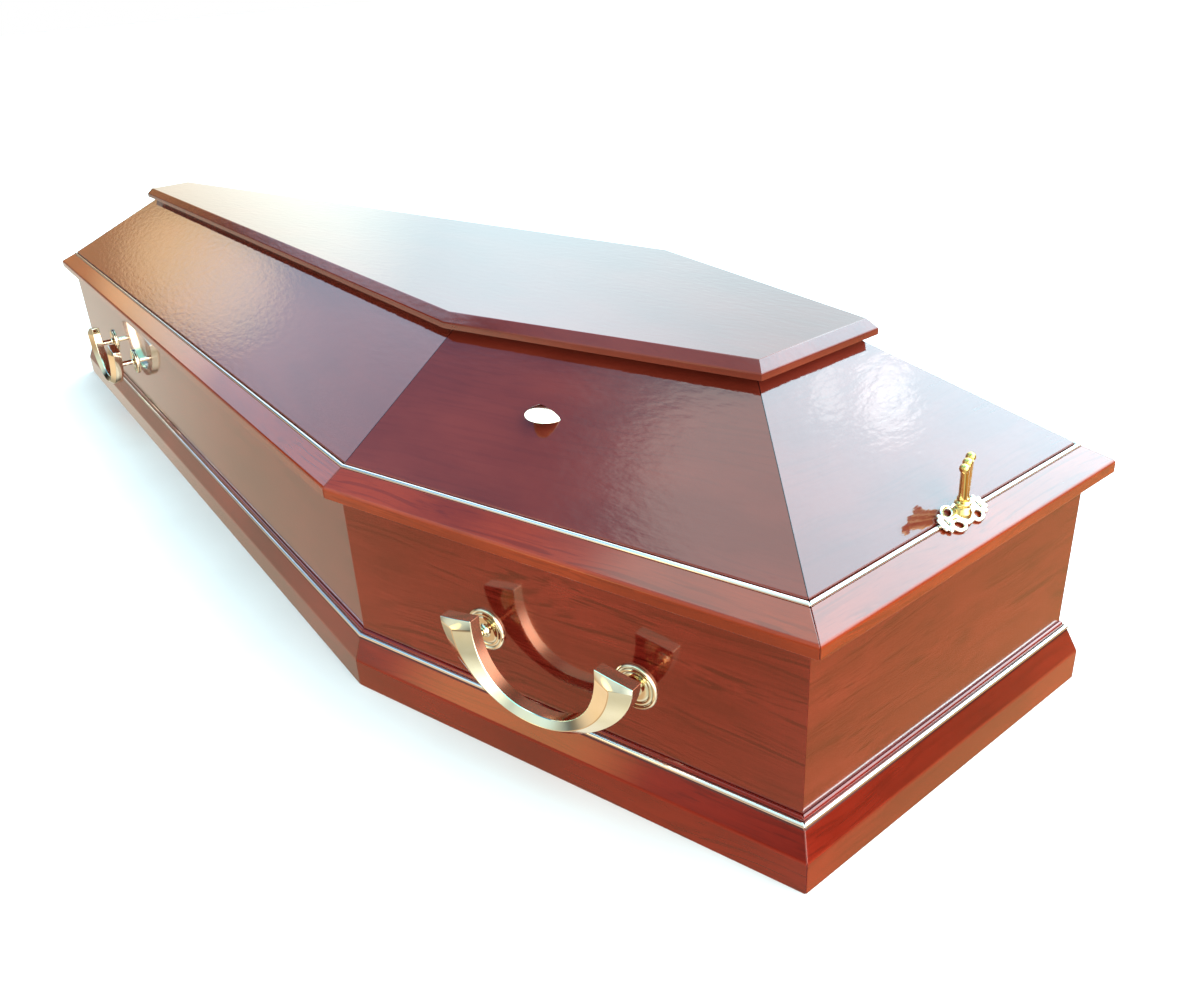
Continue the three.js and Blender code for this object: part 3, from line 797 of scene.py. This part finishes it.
# %% Make the lips
LIP_HALF_WIDTH, LIP_REACH, LIP_TILT = 0.018, 0.0250, 0.035
LIP_CROWN, LIP_FALL, LIP_FLATNESS = 0.0026, 0.10, 0.50
LIP_UNDERSIDE = 0.0024
# The middle of the root, in from the outermost point of the solid and up from its top.
LIP_ROOT = (0.0223, -0.0063)
LIP_TURN = math.radians(20)


def lip_mesh(name):
    """The lip in the frame of its wall, about the middle of its root on the panel."""
    shape = bmesh.new()
    bmesh.ops.create_uvsphere(shape, u_segments=72, v_segments=40, radius=1.0)
    for vertex in shape.verts:
        x, y, z = vertex.co
        crown = LIP_CROWN + LIP_FALL * y * LIP_REACH
        height = crown * z**LIP_FLATNESS if z > 0 else LIP_UNDERSIDE * z
        vertex.co = (x * LIP_HALF_WIDTH, y * LIP_REACH, height - LIP_TILT * y * LIP_REACH)
    up_slope = Vector((0, math.sin(panel_slope), -math.cos(panel_slope)))
    everything = [*shape.verts, *shape.edges, *shape.faces]
    cut = bmesh.ops.bisect_plane(
        shape, geom=everything, plane_co=-up_slope * JOINT_GAP, plane_no=up_slope, clear_outer=True
    )
    rim = [item for item in cut["geom_cut"] if isinstance(item, bmesh.types.BMEdge)]
    bmesh.ops.contextual_create(shape, geom=rim)
    points = [vertex.co.copy() for vertex in shape.verts]
    shape.verts.index_update()
    faces = [[vertex.index for vertex in face.verts] for face in shape.faces]
    shape.free()
    return closed_mesh(name, points, faces)


for side, edge in (("left", 1), ("right", 3)):
    name = f"lid_pull_{side}"
    to_local = edge_frame(edge).inverted()
    local = [to_local @ vertex.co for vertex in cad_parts[name].data.vertices]
    along = (min(p.x for p in local) + max(p.x for p in local)) / 2
    root = Vector((along, min(p.y for p in local) + LIP_ROOT[0], max(p.z for p in local) + LIP_ROOT[1]))
    across_panel = Vector((0, -math.sin(panel_slope), math.cos(panel_slope)))
    turned = Matrix.Rotation(LIP_TURN if side == "right" else -LIP_TURN, 4, across_panel)
    place = edge_frame(edge) @ Matrix.Translation(root) @ turned
    add_piece(f"{name}_plated", lip_mesh(name), gold_plate, [name], place)
    print(name, "root at", [round(value, 3) for value in edge_frame(edge) @ root])

# %% [markdown]
# ## Screw plates
#
# Under each thumbscrew lies a small pierced plate of cast scrolls: loops, a row of beads at both ends and
# a round boss in the middle. Scrolls like these are quickest to draw as overlapping rings and balls. A
# voxel remesh then melts them into one closed casting with soft inner corners, which is just how a worn
# mould leaves them.

# %% Make the screw plates
PLATE_RISE = 0.75
PLATE_VOXEL = 0.00045
PLATE_BOSS = 0.0115
PLATE_TUBE = 0.0020
PLATE_BEAD = 0.0023
END_BEADS = 2
END_TURN = math.radians(50)
END_MIDDLE, END_RADII = 0.50, (0.425, 0.66)
LOOP_PLACE, LOOP_RADII, LOOP_TURN = (0.42, 0.46), (0.0068, 0.0050), 0.3
END_RING_PLACE, END_RING_RADIUS, END_RING_SPAN = 0.70, 0.0034, 0.42


def add_ring(shape, middle, radii, tube, turn=0.0, steps=40, sides=12):
    """A closed tube bent to an ellipse in the level plane."""
    rings = []
    for step in range(steps):
        angle = 2 * math.pi * step / steps
        way = Vector((math.cos(angle) / radii[0], math.sin(angle) / radii[1], 0)).normalized()
        centre = Vector((radii[0] * math.cos(angle), radii[1] * math.sin(angle), 0))
        spun = Matrix.Rotation(turn, 3, "Z")
        ring = []
        for side in range(sides):
            around = 2 * math.pi * side / sides
            point = spun @ (centre + way * tube * math.cos(around))
            ring.append(shape.verts.new(point + Vector((*middle, tube * math.sin(around)))))
        rings.append(ring)
    for ring, following in zip(rings, rings[1:] + rings[:1]):
        for a, b, c, d in zip(ring, ring[1:] + ring[:1], following[1:] + following[:1], following):
            shape.faces.new((a, b, c, d))


def add_ball(shape, middle, radius, squash=1.0):
    """A ball, or a flattened one."""
    place = Matrix.Translation(middle) @ Matrix.Diagonal((radius, radius, radius * squash, 1))
    bmesh.ops.create_uvsphere(shape, u_segments=24, v_segments=14, radius=1.0, matrix=place)


def scroll_plate_mesh(name, half_length, half_width):
    """The pierced plate, level, with X along the rim."""
    shape = bmesh.new()
    add_ball(shape, (0, 0, 0), PLATE_BOSS, 0.30)
    for side in (-1, 1):
        for across in (-1, 1):
            loop = (side * half_length * LOOP_PLACE[0], across * half_width * LOOP_PLACE[1])
            add_ring(shape, loop, LOOP_RADII, PLATE_TUBE, turn=-LOOP_TURN * side * across)
        end_ring = (side * half_length * END_RING_PLACE, 0)
        add_ring(shape, end_ring, (END_RING_RADIUS, half_width * END_RING_SPAN), PLATE_TUBE)
        for step in range(-END_BEADS, END_BEADS + 1):
            turn = END_TURN * step / END_BEADS
            along = side * half_length * (END_MIDDLE + END_RADII[0] * math.cos(turn))
            add_ball(shape, (along, half_width * END_RADII[1] * math.sin(turn), 0), PLATE_BEAD)
    for vertex in shape.verts:
        vertex.co.z *= PLATE_RISE
    mesh = bpy.data.meshes.new(name)
    shape.to_mesh(mesh)
    shape.free()
    return mesh


def melt(piece, voxel, rounds):
    """Joins the overlapping shapes of a piece into one smooth casting."""
    remesh = piece.modifiers.new("one_casting", "REMESH")
    remesh.mode = "VOXEL"
    remesh.voxel_size = voxel
    remesh.use_smooth_shade = True
    soft = piece.modifiers.new("soft_corners", "SMOOTH")
    soft.factor = 0.5
    soft.iterations = rounds


for end, edge in (("head", 2), ("foot", 5)):
    name = f"screw_plate_{end}"
    to_local = edge_frame(edge).inverted()
    local = [to_local @ vertex.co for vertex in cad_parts[name].data.vertices]
    middle = Vector([(min(p[axis] for p in local) + max(p[axis] for p in local)) / 2 for axis in range(3)])
    half_length = (max(p.x for p in local) - min(p.x for p in local)) / 2
    half_width = (max(p.y for p in local) - min(p.y for p in local)) / 2 / math.cos(panel_slope)
    place = edge_frame(edge) @ Matrix.Translation(middle) @ Matrix.Rotation(panel_slope, 4, "X")
    scrolls = scroll_plate_mesh(name, half_length, half_width)
    plate = add_piece(f"{name}_plated", scrolls, screw_plate, [name], place)
    melt(plate, PLATE_VOXEL, 2)
    print(name, "half length", round(half_length, 4), "half width", round(half_width, 4))

# %% [markdown]
# ## Thumbscrews
#
# The screws that hold the lid down have an ornamental grip: a turned foot with rings, and a flat wing
# that carries three little balls. The foot is a lathe profile, the wing is a ribbed body that is widest
# at its top, and the balls sit in a row on it. They overlap and are melted into one casting, like the
# plates.

# %% Make the thumbscrews
SCREW_VOXEL = 0.0004
WING_TURN = math.radians(110.5)
WING_STEPS = 16
SCREW_FOOT = [
    (0.0078, -0.004), (0.0082, 0.002), (0.0068, 0.006), (0.0055, 0.0075), (0.0068, 0.0088),
    (0.0072, 0.0102), (0.0066, 0.0116), (0.0048, 0.0128), (0.0054, 0.0140), (0.0056, 0.0150),
    (0.0046, 0.0164), (0.0040, 0.0200),
]
WING_HEIGHTS = (0.014, 0.046)
WING_HALF_WIDTHS = (0.0086, 0.0136)
WING_HALF_THICKNESS = 0.0034
WING_CORNER, WING_ROOT = 0.16, 0.55
WING_RIB = 0.16
WING_SIDES = 48
FOOT_SIDES = 28
BALL_RADIUS = 0.0043


def join_rings(shape, rings):
    """Faces between rings of points, with caps."""
    for ring, following in zip(rings, rings[1:]):
        for a, b, c, d in zip(ring, ring[1:] + ring[:1], following[1:] + following[:1], following):
            shape.faces.new((a, b, c, d))
    shape.faces.new(reversed(rings[0]))
    shape.faces.new(rings[-1])


def wing_outline():
    """The wing cut level: pairs of a share of its half width and a thickness, with ribs on both faces."""
    outline = []
    for side in range(WING_SIDES):
        turn = 2 * math.pi * side / WING_SIDES
        rib = 1 + WING_RIB * math.cos(3 * math.pi * math.cos(turn))
        flat = math.copysign(abs(math.sin(turn)) ** 0.4, math.sin(turn))
        outline.append((math.cos(turn), WING_HALF_THICKNESS * rib * flat))
    return outline


def thumbscrew_mesh(name):
    """A thumbscrew about its own upright axis, with its wing along X."""
    shape = bmesh.new()
    rings = []
    for radius, height in SCREW_FOOT:
        turns = [2 * math.pi * side / FOOT_SIDES for side in range(FOOT_SIDES)]
        rings.append([shape.verts.new((radius * math.cos(t), radius * math.sin(t), height)) for t in turns])
    join_rings(shape, rings)
    rings = []
    for step in range(WING_STEPS + 1):
        t = step / WING_STEPS
        rounded = WING_ROOT + (1 - WING_ROOT) * math.sqrt(1 - max(0.0, 1 - t / WING_CORNER) ** 2)
        half = (WING_HALF_WIDTHS[0] + (WING_HALF_WIDTHS[1] - WING_HALF_WIDTHS[0]) * t) * rounded
        height = WING_HEIGHTS[0] + (WING_HEIGHTS[1] - WING_HEIGHTS[0]) * t
        rings.append([shape.verts.new((half * x, thick, height)) for x, thick in wing_outline()])
    join_rings(shape, rings)
    for place in (-1, 0, 1):
        across = place * (WING_HALF_WIDTHS[1] - 0.2 * BALL_RADIUS)
        add_ball(shape, (across, 0, WING_HEIGHTS[1] + 0.35 * BALL_RADIUS), BALL_RADIUS)
    mesh = bpy.data.meshes.new(name)
    shape.to_mesh(mesh)
    shape.free()
    return mesh


for end, turn in (("head", 0.0), ("foot", math.pi)):
    name = f"thumbscrew_{end}"
    low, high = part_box(name)
    plate_low, plate_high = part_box(f"screw_plate_{end}")
    seat = Vector(((low.x + high.x) / 2, (low.y + high.y) / 2, (plate_low.z + plate_high.z) / 2))
    place = Matrix.Translation(seat) @ Matrix.Rotation(WING_TURN + turn, 4, "Z")
    screw = add_piece(f"{name}_plated", thumbscrew_mesh(name), deep_gold, [name], place)
    melt(screw, SCREW_VOXEL, 4)
    print(name, "stands at", [round(value, 3) for value in seat], "top of the solid", round(high.z, 4))

# %% [markdown]
# ## The floor
#
# The coffin stands on a plain pale floor, so wide that its edge is never seen. A sheet of paper that
# curves up behind the object is the usual choice, but a flat floor under a white backdrop looks the same
# here and leaves no shadow on a wall. The floor stays out of the mirror reflections, because it would
# veil the deep red of the walls.

# %% Make the floor
FLOOR_HALF = 400.0
FLOOR_TONES = [(0.3, (0.88, 0.82, 0.80)), (0.7, (0.92, 0.86, 0.84))]
FLOOR_PATCHES = (6.0, 6.0)

floor_mesh = bpy.data.meshes.new("pale_floor")
near, far = -FLOOR_HALF, FLOOR_HALF
corners = [(near, near, 0), (far, near, 0), (far, far, 0), (near, far, 0)]
floor_mesh.from_pydata(corners, [], [(0, 1, 2, 3)])
pale_floor = bpy.data.objects.new("pale_floor", floor_mesh)
bpy.context.scene.collection.objects.link(pale_floor)
pale_floor.visible_glossy = False
floor_finish, floor_tree, floor_shader = new_finish("pale_floor")
spot = add_node(floor_tree, "TexCoord").outputs["Object"]
speckle = stretched_noise(floor_tree, spot, *FLOOR_PATCHES, detail=4.0).outputs["Fac"]
floor_tone = colour_stops(floor_tree, speckle, FLOOR_TONES)
floor_tree.links.new(floor_tone, floor_shader.inputs["Base Color"])
floor_shader.inputs["Roughness"].default_value = 0.9
floor_mesh.materials.append(floor_finish)
print("floor is", 2 * FLOOR_HALF, "m wide")

# %% [markdown]
# ## The light
#
# Gloss varnish is all reflections, so the light matters as much as the wood. It is soft daylight: a large
# bright window high on the coffin's right, a paler sky around it, warm light low at the foot, and a dim
# ground below, without which the metal would mirror black. Area lamps could give this, but their hard
# edges would show in the lid, so round patches are painted on the sky around the scene. Each patch has a
# turn from the head end, counter-clockwise from above, and a rise over the horizon. It is full to its
# core, fades out at its reach, all in degrees, and then has its colour. The colours began as a fit to the
# tones of the photograph and many were then changed. The camera itself sees a plain white
# backdrop.

# %% Make the light
DARKEST_SKY = (0.02, 0.02, 0.02, 1)
SOFT_LIGHTS = {
    "window": (78, 43, 0, 50, (3.91, 5.42, 5.88)),
    "window_core": (78, 43, 0, 25, (0.23, 1.83, 2.4)),
    "window_pane_wide_high": (82.3, 37.8, 0.8, 1.5, (2.0, 1.9, 1.8)),
    "window_pane_wide_low": (80.3, 38.0, 0.9, 1.6, (2.2, 2.0, 1.9)),
    "window_pane_narrow_high": (83.0, 40.7, 0.4, 0.9, (1.5, 1.4, 1.3)),
    "window_pane_narrow_low": (81.4, 40.8, 0.4, 0.9, (1.8, 1.7, 1.6)),
    "overhead": (0, 90, 26, 36, (0.46, 1.37, 1.46)),
    "high_left": (202, 55, 0, 35, (0.0, 0.39, 0.78)),
    "high_left_bright": (206, 67, 5, 9.5, (1.7, 1.7, 1.4)),
    "right_of_head": (30, 40, 0, 45, (0.07, 0.9, 1.33)),
    "beyond_head": (0, 20, 0, 50, (4.84, 4.48, 4.24)),
    "left_of_head": (320, 25, 0, 45, (1.27, 1.35, 1.23)),
    "left_sky": (250, 28, 0, 45, (0.84, 0.97, 0.94)),
    "left_horizon": (298, 8, 0, 30, (0.84, 0.88, 0.85)),
    "left_low": (252, -4, 2, 8, (2.18, 1.61, 0.5)),
    "beyond_right_leg": (135, 17, 0, 30, (1.19, 1.67, 1.79)),
    "beyond_foot_low": (161, 8, 0, 14, (0.94, 0.86, 0.66)),
    "beyond_foot_high": (184, 27, 3, 13, (0.89, 1.22, 1.59)),
    "foot_bright": (180, 17.5, 1.5, 5, (1.09, 0.87, 0.48)),
    "foot_warm": (178, 12, 3, 9, (0.53, 0.29, 0.12)),
    "over_foot": (150, 42, 0, 32, (1.3, 1.41, 1.69)),
    "ground_below": (0, -90, 12, 45, (0.90, 0.86, 0.76)),
    "ground_left": (240, -30, 8, 40, (0.66, 0.42, 0.24)),
    "ground_left_of_head": (305, -35, 8, 42, (0.72, 0.68, 0.54)),
    "ground_head": (350, -20, 0, 40, (0.81, 0.76, 0.71)),
    "ground_right_of_head": (70, -32, 0, 45, (0.74, 0.42, 0.17)),
    "ground_right": (120, -30, 0, 45, (0.49, 0.44, 0.36)),
    "ground_left_of_foot": (200, -20, 0, 35, (0.55, 0.46, 0.34)),
    "ground_foot": (165, -12, 0, 25, (0.56, 0.59, 0.55)),
}

world = bpy.data.worlds.new("soft_light")
bpy.context.scene.world = world
world.use_nodes = True
light_tree = world.node_tree
light_tree.nodes.clear()
looking = add_node(light_tree, "TexCoord").outputs["Generated"]


def toward(turn, rise):
    """The unit vector towards a patch of the sky."""
    turn, rise = math.radians(turn), math.radians(rise)
    return (math.cos(rise) * math.cos(turn), math.cos(rise) * math.sin(turn), math.sin(rise))


light = DARKEST_SKY
for turn, rise, core, reach, colour in SOFT_LIGHTS.values():
    inputs = {0: looking, 1: toward(turn, rise)}
    facing = add_node(light_tree, "VectorMath", inputs, operation="DOT_PRODUCT").outputs["Value"]
    share = scaled_to(light_tree, facing, math.cos(math.radians(reach)), math.cos(math.radians(core)))
    patch = mixed(light_tree, share, (0, 0, 0, 1), (*colour, 1))
    light = mixed(light_tree, 1.0, light, patch, "ADD")
backdrop = add_node(light_tree, "LightPath").outputs["Is Camera Ray"]
shown = mixed(light_tree, backdrop, light, (1, 1, 1, 1))
background = add_node(light_tree, "Background", {"Color": shown, "Strength": 1.0})
add_node(light_tree, "OutputWorld", {"Surface": background.outputs["Background"]})
bpy.context.scene.view_settings.view_transform = "Standard"
print("soft lights:", len(SOFT_LIGHTS))
